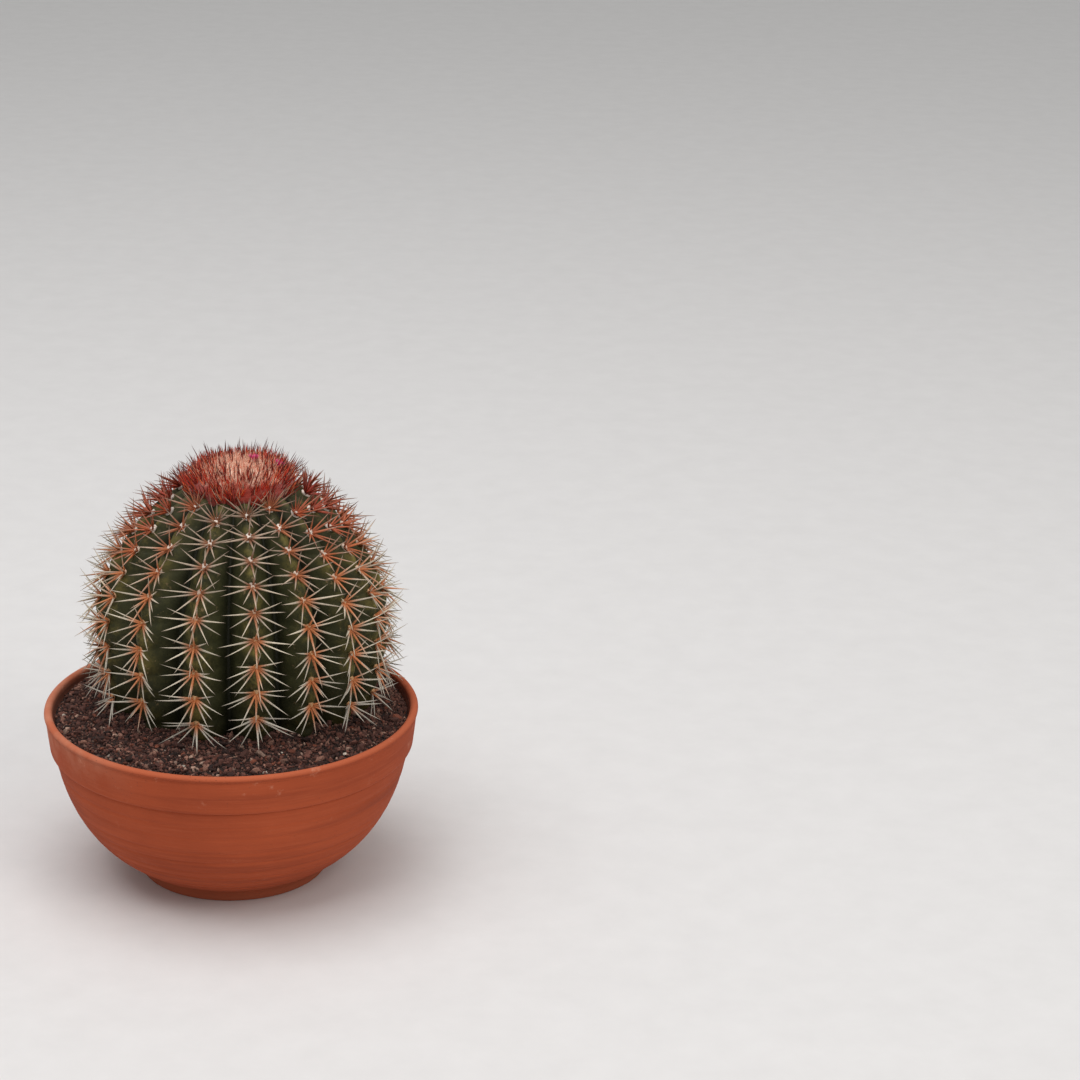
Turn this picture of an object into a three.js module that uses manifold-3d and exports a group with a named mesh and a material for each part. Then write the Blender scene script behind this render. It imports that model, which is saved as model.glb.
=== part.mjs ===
// Round ribbed cactus with a woolly cap, growing in a shallow terracotta bowl.
// Millimetres, +Z up. The origin is the centre of the bowl's foot, on the surface it stands on.
// Turns about the plant's axis are counted from -Y towards +X.

import * as THREE from 'three';
import { mergeVertices } from 'three/addons/utils/BufferGeometryUtils.js';
import Module from 'manifold-3d';

const wasm = await Module();
wasm.setup();

// ---- Driving dimensions: plant ----
const STEM_RADIUS = 81; // axis to rib crest at the widest height
const STEM_WAIST_HEIGHT = 50; // soil surface to the widest height
const STEM_CROWN_RISE = 81.5; // widest height to the crown
const STEM_ROOT_DROP = 70; // widest height to the buried end
const SHOULDER_FULLNESS = 1.68; // superellipse exponent above the widest height
const FLANK_FULLNESS = 4; // superellipse exponent below it
const RIB_COUNT = 16;
const GROOVE_DEPTH = 18; // crest to groove at the widest height
const GROOVE_SHARPNESS = 1.2; // 1 gives flat rib flanks, 2 gives round ones
const FIRST_RIB_TURN = 11.4; // degrees
const RIB_CROWDING = 3.3; // degrees that the rib pitch wanders by
const CROWDING_TURN = 24; // degrees, where the ribs stand widest apart
const PLANT_SHIFT_X = 4.8; // plant axis from the bowl's axis
const PLANT_SHIFT_Y = 16.5;

// ---- Driving dimensions: areoles and spines, along the crest from the crown ----
const AREOLE_BELOW_CAP = 4; // cap's edge to the nearest areole
const AREOLE_PITCH = 13.8;
const AREOLE_PITCH_GAIN = 0.1; // each pitch is twice this longer than the one above it
const AREOLE_STAGGERS = [ // rib by rib, how far down its first areole sits, as a share of the pitch
  0.33, 0.08, 0.62, 0.8, 0.25, 0.55, 0.05, 0.45, 0.9, 0.35, 0.7, 0.15, 0.5, 0.79, 0.15, 0.66,
];
const AREOLE_HALF_LENGTH = 2.8;
const AREOLE_HALF_WIDTH = 2.2;
const AREOLE_HALF_HEIGHT = 1.3;
const SPINE_LENGTH = 20;
const SPINE_RADIUS = 0.65;
const SPINE_TURNS = [-72, 72]; // degrees from straight down the rib
const SPINE_LIFT = 18; // degrees off the skin
const RIB_SHARE = 0.4; // side reach of a spine, as a share of the rib pitch

// ---- Driving dimensions: woolly cap and flowers ----
const CAP_RADIUS = 30;
const CAP_RISE = 5.2; // stem's crown to the top of the cap
const CAP_DOME_HEIGHT = 11.8;
const CAP_SKIRT = 10; // depth of the cap's side below its dome
const FLOWER_RADIUS = 3.1;
const FLOWER_HEIGHT = 5.2;
const FLOWERS = [
  { name: 'flower_1', reach: 8, turn: 118 },
  { name: 'flower_2', reach: 21, turn: 100 },
];

// ---- Driving dimensions: bowl and soil ----
const SOIL_MARGIN = 19.4; // widest rib crest to the bowl's inner lip, with the plant centred
const LIP_WALL = 4.6;
const BOWL_WALL = 6;
const BOWL_HEIGHT = 98.3;
const COLLAR_HEIGHT = 22.3;
const COLLAR_TAPER = 2.8; // lip radius less the collar's lower radius
const COLLAR_STEP = 2.6; // collar's lower radius less the bowl wall under it
const STEP_HEIGHT = 2;
const LIP_BEAD = 5.5; // height of the lip's bead above its groove
const LIP_GROOVE = 0.7;
const BOWL_BELLY_INSET = 14; // lip radius less the radius of the belly's control point
const BOWL_BELLY_HEIGHT = 24;
const FOOT_RADIUS = 53;
const FOOT_WIDTH = 9;
const FOOT_HEIGHT = 6;
const FOOT_RECESS = 2.5;
const DRAIN_RADIUS = 7;
const SOIL_BELOW_RIM = 6; // soil surface at the bowl's wall
const SOIL_MOUND = 6.5; // rise of the soil from the wall to the stem

const FIT_GAP = 0.5; // play between pieces that touch
const SPINE_CLEARANCE = 1.2; // spine tip to soil, and spine tip to lip

// ---- Sizes that follow ----
const LIP_RADIUS = STEM_RADIUS + SOIL_MARGIN + LIP_WALL;
const MOUTH_RADIUS = LIP_RADIUS - LIP_WALL;
const SOIL_AT_STEM = BOWL_HEIGHT - SOIL_BELOW_RIM + SOIL_MOUND;
const WAIST_Z = SOIL_AT_STEM + STEM_WAIST_HEIGHT;
const CROWN_Z = WAIST_Z + STEM_CROWN_RISE;
const CAP_TOP_Z = CROWN_Z + CAP_RISE;
const RIB_PITCH = (2 * Math.PI) / RIB_COUNT;

const CIRCLE_SIDES = 48;
const radians = THREE.MathUtils.degToRad;

// ---- Solids ----

function toSolid(geometry) {
  geometry.deleteAttribute('normal');
  geometry.deleteAttribute('uv');
  const merged = mergeVertices(geometry, 1e-4);
  return new wasm.Manifold(new wasm.Mesh({
    numProp: 3,
    vertProperties: new Float32Array(merged.attributes.position.array),
    triVerts: new Uint32Array(merged.index.array),
  }));
}

function toGeometry(solid) {
  const mesh = solid.getMesh();
  const geometry = new THREE.BufferGeometry();
  geometry.setAttribute('position', new THREE.BufferAttribute(mesh.vertProperties, 3));
  geometry.setIndex(new THREE.BufferAttribute(mesh.triVerts, 1));
  geometry.computeVertexNormals();
  return geometry;
}

// Turns an outline of [radius, height] points about +Z. A closed outline runs up its outer side first.
function turned(outline, sides = CIRCLE_SIDES) {
  const points = outline.map(([radius, height]) => new THREE.Vector2(radius, height));
  return new THREE.LatheGeometry(points, sides).rotateX(Math.PI / 2);
}

// ---- Stem ----

// Crest outline in the rib's own plane; polar runs from 0 at the crown to PI at the buried end.
function crestPoint(polar, grow = 0) {
  const above = polar <= Math.PI / 2;
  const fullness = above ? SHOULDER_FULLNESS : FLANK_FULLNESS;
  const rise = (above ? STEM_CROWN_RISE : STEM_ROOT_DROP) + grow;
  const side = Math.sin(polar);
  const up = Math.cos(polar);
  const scale = (side ** fullness + Math.abs(up) ** fullness) ** (-1 / fullness);
  return [(STEM_RADIUS + grow) * scale * side, WAIST_Z + rise * scale * up];
}

// The ribs stand a little closer on one side of the plant than on the other.
function ribTurn(rib) {
  const even = radians(FIRST_RIB_TURN) + rib * RIB_PITCH;
  const crowding = Math.cos(2 * (even - radians(CROWDING_TURN))) - 1;
  return even + radians(RIB_CROWDING) * crowding;
}

// One closed skin: rings of points from crown to buried end, crests and grooves in turn round the axis.
function stemGeometry(grow = 0) {
  const rings = 20;
  const stepsPerRib = 4;
  const columns = RIB_COUNT * stepsPerRib;
  const positions = [0, 0, crestPoint(0, grow)[1]];
  for (let ring = 1; ring < rings; ring += 1) {
    const polar = (ring * Math.PI) / rings;
    const [crestRadius, z] = crestPoint(polar, grow);
    const depth = GROOVE_DEPTH * Math.sin(polar) ** 1.2;
    for (let column = 0; column < columns; column += 1) {
      const step = column % stepsPerRib;
      const offCrest = Math.min(step, stepsPerRib - step) / (stepsPerRib / 2);
      const radius = crestRadius - depth * offCrest ** GROOVE_SHARPNESS;
      const turn = ribTurn(column / stepsPerRib);
      positions.push(radius * Math.sin(turn), -radius * Math.cos(turn), z);
    }
  }
  positions.push(0, 0, crestPoint(Math.PI, grow)[1]);
  const last = positions.length / 3 - 1;
  const faces = [];
  for (let column = 0; column < columns; column += 1) {
    const next = (column + 1) % columns;
    faces.push(0, 1 + column, 1 + next);
    for (let ring = 0; ring < rings - 2; ring += 1) {
      const upper = 1 + ring * columns;
      const lower = upper + columns;
      faces.push(upper + column, lower + column, lower + next);
      faces.push(upper + column, lower + next, upper + next);
    }
    const bottom = 1 + (rings - 2) * columns;
    faces.push(bottom + column, last, bottom + next);
  }
  const geometry = new THREE.BufferGeometry();
  geometry.setAttribute('position', new THREE.Float32BufferAttribute(positions, 3));
  geometry.setIndex(faces);
  return geometry.translate(PLANT_SHIFT_X, PLANT_SHIFT_Y, 0);
}

// ---- Areoles and spines ----

// Places along one crest, evenly walked by arc length, down to just above the soil.
function areolePlaces(rib) {
  const turn = ribTurn(rib);
  const outward = new THREE.Vector3(Math.sin(turn), -Math.cos(turn), 0);
  const stagger = AREOLE_PITCH * AREOLE_STAGGERS[rib % AREOLE_STAGGERS.length];
  const places = [];
  const polarStep = Math.PI / 720;
  let walked = 0;
  let capEdge = 0;
  let [radius, z] = crestPoint(0);
  for (let polar = polarStep; polar < Math.PI; polar += polarStep) {
    const [nextRadius, nextZ] = crestPoint(polar);
    const alongRadius = nextRadius - radius;
    const alongZ = nextZ - z;
    const stride = Math.hypot(alongRadius, alongZ);
    walked += stride;
    radius = nextRadius;
    z = nextZ;
    if (radius < CAP_RADIUS) {
      capEdge = walked;
    }
    const count = places.length;
    const firstAreole = capEdge + AREOLE_BELOW_CAP + stagger;
    const wanted = firstAreole + AREOLE_PITCH * count + AREOLE_PITCH_GAIN * count ** 2;
    if (z < SOIL_AT_STEM + AREOLE_HALF_LENGTH + SPINE_CLEARANCE) {
      break;
    }
    if (walked >= wanted) {
      const down = outward.clone().multiplyScalar(alongRadius / stride).setZ(alongZ / stride);
      const out = outward.clone().multiplyScalar(-alongZ / stride).setZ(alongRadius / stride);
      const side = new THREE.Vector3().crossVectors(down, out);
      const centre = outward.clone().multiplyScalar(radius).setZ(z);
      centre.addScaledVector(out, AREOLE_HALF_HEIGHT + FIT_GAP);
      centre.add(new THREE.Vector3(PLANT_SHIFT_X, PLANT_SHIFT_Y, 0));
      places.push({ centre, down, out, side, radius });
    }
  }
  return places;
}

function spineSolid(from, tip) {
  const along = tip.clone().sub(from);
  const spine = new THREE.ConeGeometry(SPINE_RADIUS, along.length(), 3);
  spine.translate(0, along.length() / 2, 0);
  spine.applyQuaternion(new THREE.Quaternion().setFromUnitVectors(
    new THREE.Vector3(0, 1, 0), along.normalize()));
  spine.translate(from.x, from.y, from.z);
  return toSolid(spine);
}

// A side spine stays on its own rib's share of the skin, above the soil and inside the bowl's mouth.
function spineTip(place, turnDegrees) {
  const turn = radians(turnDegrees);
  const lift = radians(SPINE_LIFT);
  const direction = place.down.clone().multiplyScalar(Math.cos(turn) * Math.cos(lift));
  direction.addScaledVector(place.side, Math.sin(turn) * Math.cos(lift));
  direction.addScaledVector(place.out, Math.sin(lift));
  const sideReach = place.radius * Math.sin(RIB_SHARE * RIB_PITCH);
  const length = Math.min(SPINE_LENGTH, sideReach / Math.abs(direction.dot(place.side)));
  const tip = place.centre.clone().addScaledVector(direction, length);
  tip.z = Math.max(tip.z, SOIL_AT_STEM + SPINE_CLEARANCE);
  const reach = Math.hypot(tip.x, tip.y);
  const limit = MOUTH_RADIUS - SPINE_CLEARANCE;
  if (place.centre.z < BOWL_HEIGHT + SPINE_LENGTH && reach > limit) {
    tip.x *= limit / reach;
    tip.y *= limit / reach;
  }
  return tip;
}

// One rib's felted areoles, strung together by the centre spines that lie down along the crest.
function ribSpines(rib) {
  const places = areolePlaces(rib);
  const solids = [];
  places.forEach((place, index) => {
    const pad = new THREE.OctahedronGeometry(1);
    pad.scale(AREOLE_HALF_LENGTH, AREOLE_HALF_WIDTH, AREOLE_HALF_HEIGHT);
    pad.applyMatrix4(new THREE.Matrix4().makeBasis(place.down, place.side.clone().negate(), place.out));
    pad.translate(place.centre.x, place.centre.y, place.centre.z);
    solids.push(toSolid(pad));
    for (const turnDegrees of SPINE_TURNS) {
      solids.push(spineSolid(place.centre, spineTip(place, turnDegrees)));
    }
    if (index + 1 < places.length) {
      solids.push(spineSolid(place.centre, places[index + 1].centre));
    }
  });
  return toGeometry(solids.reduce((joined, solid) => joined.add(solid)));
}

// ---- Woolly cap and flowers ----

function capSurface(reach) {
  const share = reach / CAP_RADIUS;
  const domeBase = CAP_TOP_Z - CAP_DOME_HEIGHT;
  return domeBase + CAP_DOME_HEIGHT * Math.sqrt(1 - share ** 2);
}

function capGeometry(grownStem) {
  const skirtZ = CAP_TOP_Z - CAP_DOME_HEIGHT - CAP_SKIRT;
  const outline = [[0, skirtZ], [CAP_RADIUS, skirtZ]];
  const domeSteps = 6;
  for (let step = domeSteps; step > 0; step -= 1) {
    const reach = CAP_RADIUS * Math.sin((step / domeSteps) * (Math.PI / 2));
    outline.push([reach, capSurface(reach)]);
  }
  outline.push([0, CAP_TOP_Z]);
  const dome = turned(outline, 32).translate(PLANT_SHIFT_X, PLANT_SHIFT_Y, 0);
  return toGeometry(toSolid(dome).subtract(grownStem));
}

// A small trumpet standing square to the cap.
function flowerGeometry({ reach, turn }) {
  const outline = [
    [0, 0],
    [FLOWER_RADIUS * 0.5, 0],
    [FLOWER_RADIUS * 0.6, FLOWER_HEIGHT * 0.6],
    [FLOWER_RADIUS, FLOWER_HEIGHT],
    [FLOWER_RADIUS * 0.4, FLOWER_HEIGHT * 0.75],
    [0, FLOWER_HEIGHT * 0.65],
  ];
  const angle = radians(turn);
  const share = reach / CAP_RADIUS;
  const slope = (CAP_DOME_HEIGHT / CAP_RADIUS) * (share / Math.sqrt(1 - share ** 2));
  const outward = new THREE.Vector3(Math.sin(angle), -Math.cos(angle), 0);
  const normal = outward.clone().multiplyScalar(slope).setZ(1).normalize();
  const base = outward.clone().multiplyScalar(reach).setZ(capSurface(reach));
  base.addScaledVector(normal, FIT_GAP);
  const flower = turned(outline, 10);
  flower.applyQuaternion(new THREE.Quaternion().setFromUnitVectors(new THREE.Vector3(0, 0, 1), normal));
  return flower.translate(base.x + PLANT_SHIFT_X, base.y + PLANT_SHIFT_Y, base.z);
}

// ---- Bowl and soil ----

// The bowl's outer wall from the foot up to the collar, moved inwards square to itself by an inset.
function wallOutline(inset, steps) {
  const collarRadius = LIP_RADIUS - COLLAR_TAPER;
  const wall = new THREE.QuadraticBezierCurve(
    new THREE.Vector2(FOOT_RADIUS, FOOT_HEIGHT),
    new THREE.Vector2(LIP_RADIUS - BOWL_BELLY_INSET, BOWL_BELLY_HEIGHT),
    new THREE.Vector2(collarRadius - COLLAR_STEP, BOWL_HEIGHT - COLLAR_HEIGHT - STEP_HEIGHT),
  );
  const outline = [];
  for (let step = 0; step <= steps; step += 1) {
    const point = wall.getPoint(step / steps);
    const tangent = wall.getTangent(step / steps);
    outline.push([point.x - inset * tangent.y, point.y + inset * tangent.x]);
  }
  return outline;
}

function bowlGeometry() {
  const bead = LIP_WALL / 2;
  const collarTop = BOWL_HEIGHT - LIP_BEAD;
  const collarFoot = BOWL_HEIGHT - COLLAR_HEIGHT;
  const outline = [
    [DRAIN_RADIUS, FOOT_RECESS],
    [FOOT_RADIUS - FOOT_WIDTH - FOOT_RECESS, FOOT_RECESS],
    [FOOT_RADIUS - FOOT_WIDTH, 0],
    [FOOT_RADIUS, 0],
    ...wallOutline(0, 7),
    [LIP_RADIUS - COLLAR_TAPER, collarFoot],
    [LIP_RADIUS - LIP_GROOVE * 1.2, collarTop - LIP_GROOVE],
    [LIP_RADIUS - LIP_GROOVE * 2, collarTop],
    [LIP_RADIUS - LIP_GROOVE, collarTop + LIP_GROOVE],
  ];
  const beadSteps = 4;
  for (let step = 0; step <= beadSteps; step += 1) {
    const angle = (step / beadSteps) * Math.PI;
    outline.push([LIP_RADIUS - bead + bead * Math.cos(angle), BOWL_HEIGHT - bead + bead * Math.sin(angle)]);
  }
  const inside = wallOutline(BOWL_WALL, 5).reverse();
  outline.push(...inside, [DRAIN_RADIUS, inside.at(-1)[1]], [DRAIN_RADIUS, FOOT_RECESS]);
  return turned(outline);
}

// Fills the bowl, heaped up to the stem, with a well that the stem's buried part fits.
function soilGeometry(grownStem) {
  const inside = wallOutline(BOWL_WALL + FIT_GAP, 5);
  const wallTop = inside.at(-1);
  const soilEdge = BOWL_HEIGHT - SOIL_BELOW_RIM;
  const towardsMouth = (soilEdge - wallTop[1]) / (BOWL_HEIGHT - LIP_WALL / 2 - wallTop[1]);
  const edgeRadius = THREE.MathUtils.lerp(wallTop[0], MOUTH_RADIUS - FIT_GAP, towardsMouth);
  const outline = [
    [0, inside[0][1]],
    ...inside,
    [edgeRadius, soilEdge],
    [STEM_RADIUS * 0.75, SOIL_AT_STEM],
    [0, SOIL_AT_STEM],
  ];
  return toGeometry(toSolid(turned(outline)).subtract(grownStem));
}

// ---- Assembly ----

const plant = new THREE.Group();

function add(name, geometry, color, roughness) {
  const material = new THREE.MeshStandardMaterial({ color, roughness, metalness: 0 });
  const mesh = new THREE.Mesh(geometry, material);
  mesh.name = name;
  plant.add(mesh);
}

const grownStem = toSolid(stemGeometry(FIT_GAP));

add('pot', bowlGeometry(), 0xa4552f, 0.9);
add('soil', soilGeometry(grownStem), 0x493633, 0.95);
add('cactus_stem', stemGeometry(), 0x3a4630, 0.6);
add('cephalium', capGeometry(grownStem), 0xa8503c, 0.9);
for (let rib = 0; rib < RIB_COUNT; rib += 1) {
  add(`rib_spines_${String(rib + 1).padStart(2, '0')}`, ribSpines(rib), 0xc9a27c, 0.6);
}
for (const flower of FLOWERS) {
  add(flower.name, flowerGeometry(flower), 0xc2185b, 0.5);
}

export default plant;
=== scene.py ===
import math
import random

import bpy
from mathutils import Matrix, Vector, noise


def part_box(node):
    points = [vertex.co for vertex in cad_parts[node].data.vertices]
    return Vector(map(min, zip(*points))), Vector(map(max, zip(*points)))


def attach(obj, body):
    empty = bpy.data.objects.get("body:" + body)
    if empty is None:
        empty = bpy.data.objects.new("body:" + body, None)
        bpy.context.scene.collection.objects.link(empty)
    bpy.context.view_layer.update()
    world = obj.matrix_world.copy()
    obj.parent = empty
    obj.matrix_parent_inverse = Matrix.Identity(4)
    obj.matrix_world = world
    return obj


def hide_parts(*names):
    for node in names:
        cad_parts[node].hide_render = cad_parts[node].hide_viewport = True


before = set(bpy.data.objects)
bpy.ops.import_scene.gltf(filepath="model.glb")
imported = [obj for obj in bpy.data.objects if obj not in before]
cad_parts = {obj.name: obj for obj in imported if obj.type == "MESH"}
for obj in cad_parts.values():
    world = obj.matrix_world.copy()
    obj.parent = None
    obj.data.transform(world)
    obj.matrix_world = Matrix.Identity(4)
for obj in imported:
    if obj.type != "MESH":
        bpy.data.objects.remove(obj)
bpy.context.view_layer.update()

MM = 0.001


# The terracotta bowl
# A shallow round bowl of red clay, shaped on a wheel and fired without glaze: a foot ring, a bellied
# wall that still shows the turning lines, an upright collar, and a rounded lip with a line under it.

bowl_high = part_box("pot")[1]
LIP_RADIUS = bowl_high.x
BOWL_HEIGHT = bowl_high.z
LIP_WALL = 4.6 * MM
MOUTH_RADIUS = LIP_RADIUS - LIP_WALL
BOWL_WALL = 6 * MM
COLLAR_HEIGHT = 22.3 * MM
COLLAR_TAPER = 2.8 * MM
COLLAR_STEP = 2.6 * MM
STEP_HEIGHT = 2 * MM
LIP_BEAD = 3.7 * MM
BELLY_RADIUS = LIP_RADIUS - 14 * MM
BELLY_HEIGHT = 24 * MM
FOOT_RADIUS = 53 * MM
FOOT_WIDTH = 9 * MM
FOOT_HEIGHT = 6 * MM
FOOT_RECESS = 2.5 * MM
DRAIN_RADIUS = 7 * MM
TURNING_LINES = (0.05, 0.10, 0.155, 0.21, 0.28, 0.335, 0.42, 0.50, 0.61, 0.70, 0.83, 0.91)  # up the wall
LINE_DEPTH = 0.65 * MM
LINE_WIDTH = 0.010
LINE_VARIETY = 0.618  # steps the depth from line to line
WALL_STEPS = 110
WALL_START = 0.012  # share of the wall that the foot's rounding takes
FOOT_TAPER = 0.6 * MM
FOOT_ROUNDING = 1.2 * MM
COLLAR_ROUNDING = 0.6 * MM
COLLAR_BULGE = 0.9 * MM
BULGE_HEIGHT = 8 * MM
LEDGE_UNDERCUT = 0.4 * MM
LEDGE_LIP = 0.9 * MM
LIP_LINE_DEPTH = 0.95 * MM
LIP_LINE_REACH = 0.8 * MM
BEAD_STEPS = 14
MOUTH_STEPS = 8
INSIDE_STEPS = 24
DRAIN_CHAMFER = 1 * MM
WAVER = 0.0012  # share of the radius
WAVER_SCALE = 1.3
WAVER_RISE = 12


class Value:
    """A socket that takes part in Python expressions, each of which adds its Math node."""

    def __init__(self, finish, socket):
        self.finish = finish
        self.socket = socket

    def math(self, operation, first, second):
        return self.finish.node("ShaderNodeMath", {"operation": operation}, {0: first, 1: second})

    def __add__(self, other):
        return self.math("ADD", self, other)

    def __radd__(self, other):
        return self.math("ADD", other, self)

    def __sub__(self, other):
        return self.math("SUBTRACT", self, other)

    def __rsub__(self, other):
        return self.math("SUBTRACT", other, self)

    def __mul__(self, other):
        return self.math("MULTIPLY", self, other)

    def __rmul__(self, other):
        return self.math("MULTIPLY", other, self)

    def rises(self, start, end):
        """0 below start, 1 above end, smooth between them."""
        settings = {"interpolation_type": "SMOOTHSTEP"}
        inputs = {"Value": self, "From Min": start, "From Max": end}
        return self.finish.node("ShaderNodeMapRange", settings, inputs)


class Finish:
    """One procedural material, made on a Principled shader."""

    def __init__(self, name, **shader):
        self.material = bpy.data.materials.new(name)
        self.material.use_nodes = True
        self.tree = self.material.node_tree
        self.shader = self.tree.nodes["Principled BSDF"]
        self.feed(**shader)

    def put(self, socket, value):
        if isinstance(value, Value):
            self.tree.links.new(value.socket, socket)
        else:
            socket.default_value = value

    def node(self, kind, settings=None, inputs=None, output=0):
        """Adds a node: settings first, then its sockets' values or links. A ramp's stops are a setting."""
        made = self.tree.nodes.new(kind)
        for name, value in (settings or {}).items():
            if name == "stops":
                ramp = made.color_ramp.elements
                while len(ramp) < len(value):
                    ramp.new(0.5)
                for element, (place, colour) in zip(ramp, value):
                    element.position = place
                    element.color = (*colour, 1)
            else:
                setattr(made, name, value)
        for name, value in (inputs or {}).items():
            self.put(made.inputs[name], value)
        return Value(self, made.outputs[output])

    def feed(self, **shader):
        """Sets the shader's sockets, with _ for a space in their names."""
        for name, value in shader.items():
            self.put(self.shader.inputs[name.replace("_", " ")], value)

    def place(self):
        return self.node("ShaderNodeTexCoord", output="Object")

    def stretched(self, across, up):
        """Object coordinates scaled sideways and up, for streaks round the object."""
        return self.node("ShaderNodeMapping", inputs={"Vector": self.place(), "Scale": (across, across, up)})

    def clouds(self, scale, detail=4, roughness=0.5, at=None):
        inputs = {"Vector": at or self.place(), "Scale": scale, "Detail": detail, "Roughness": roughness}
        return self.node("ShaderNodeTexNoise", inputs=inputs)

    def painted(self, name):
        """A colour painted on the mesh's points."""
        return self.node("ShaderNodeAttribute", {"attribute_name": name}, output="Color")

    def ramp(self, factor, *stops):
        return self.node("ShaderNodeValToRGB", {"stops": stops}, {"Fac": factor})

    def mixed(self, factor, first, second):
        """The first colour turning into the second, which is a colour or a socket."""
        if isinstance(second, tuple):
            second = (*second, 1)
        inputs = {0: factor, 6: first, 7: second}
        return self.node("ShaderNodeMix", {"data_type": "RGBA"}, inputs, output=2)

    def bumped(self, height, distance, strength=1.0):
        inputs = {"Height": height, "Distance": distance, "Strength": strength}
        self.feed(Normal=self.node("ShaderNodeBump", inputs=inputs))


def new_piece(name, points, faces, finish, node_names, smooth=True):
    """A mesh piece that rides on the plant's one body and stands for its CAD nodes."""
    mesh = bpy.data.meshes.new(name)
    mesh.from_pydata([tuple(point) for point in points], [], faces)
    mesh.materials.append(finish.material)
    mesh.polygons.foreach_set("use_smooth", [smooth] * len(mesh.polygons))
    mesh.update()
    piece = bpy.data.objects.new(name, mesh)
    bpy.context.scene.collection.objects.link(piece)
    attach(piece, "root")
    if node_names:
        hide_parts(*node_names)
    return piece


def ring_faces(rows, columns, closed_rows=False):
    """Quads between rows of points that each go once round. The rows run up the outer side."""
    faces = []
    for row in range(rows if closed_rows else rows - 1):
        low = row * columns
        high = (row + 1) % rows * columns
        for column in range(columns):
            right = (column + 1) % columns
            faces.append((low + column, low + right, high + right, high + column))
    return faces


def capped_faces(rows, columns):
    """Faces of a closed body: a top point, rows of points going down, and a bottom point last."""
    faces = []
    last = 1 + (rows - 1) * columns
    bottom = last - columns
    for column in range(columns):
        right = (column + 1) % columns
        faces.append((0, 1 + column, 1 + right))
        faces.append((bottom + column, last, bottom + right))
        for row in range(rows - 2):
            upper = 1 + row * columns
            lower = upper + columns
            faces.append((upper + column, lower + column, lower + right, upper + right))
    return faces


def bell(distance, width):
    return math.exp(-((distance / width) ** 2))


def wall_outline(inset, steps, start=0.0, lined=False):
    """The bellied wall from foot to collar, moved inwards by an inset, with its turning lines if lined."""
    collar_radius = LIP_RADIUS - COLLAR_TAPER
    foot = Vector((FOOT_RADIUS, FOOT_HEIGHT))
    belly = Vector((BELLY_RADIUS, BELLY_HEIGHT))
    top = Vector((collar_radius - COLLAR_STEP, BOWL_HEIGHT - COLLAR_HEIGHT - STEP_HEIGHT))
    outline = []
    for step in range(steps + 1):
        t = start + (1 - start) * step / steps
        point = foot * (1 - t) ** 2 + belly * 2 * t * (1 - t) + top * t * t
        tangent = ((belly - foot) * (1 - t) + (top - belly) * t).normalized()
        depth = inset
        if lined:
            for number, line in enumerate(TURNING_LINES):
                depth += LINE_DEPTH * (0.5 + 0.5 * (number * LINE_VARIETY % 1)) * bell(t - line, LINE_WIDTH)
        outline.append((point.x - depth * tangent.y, point.y + depth * tangent.x))
    return outline


def rounded(outline, corner_radius, arc_steps=3):
    """Rounds each inner corner of an open outline with a short arc-like curve."""
    smoothed = [outline[0]]
    for before, corner, after in zip(outline, outline[1:], outline[2:]):
        before, corner, after = Vector(before), Vector(corner), Vector(after)
        reach_in = min(corner_radius, (before - corner).length / 2)
        reach_out = min(corner_radius, (after - corner).length / 2)
        enter = corner + (before - corner).normalized() * reach_in
        leave = corner + (after - corner).normalized() * reach_out
        for step in range(arc_steps + 1):
            t = step / arc_steps
            smoothed.append(tuple(enter * (1 - t) ** 2 + corner * 2 * t * (1 - t) + leave * t * t))
    smoothed.append(outline[-1])
    return smoothed


def turned_points(outline, sides):
    """Points of an outline turned about the bowl's axis, with a hand-made waver."""
    points = []
    for radius, height in outline:
        for side in range(sides):
            angle = 2 * math.pi * side / sides
            spot = Vector((math.cos(angle), math.sin(angle), height * WAVER_RISE))
            swell = 1 + WAVER * noise.noise(spot * WAVER_SCALE)
            points.append((radius * swell * math.cos(angle), radius * swell * math.sin(angle), height))
    return points


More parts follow.
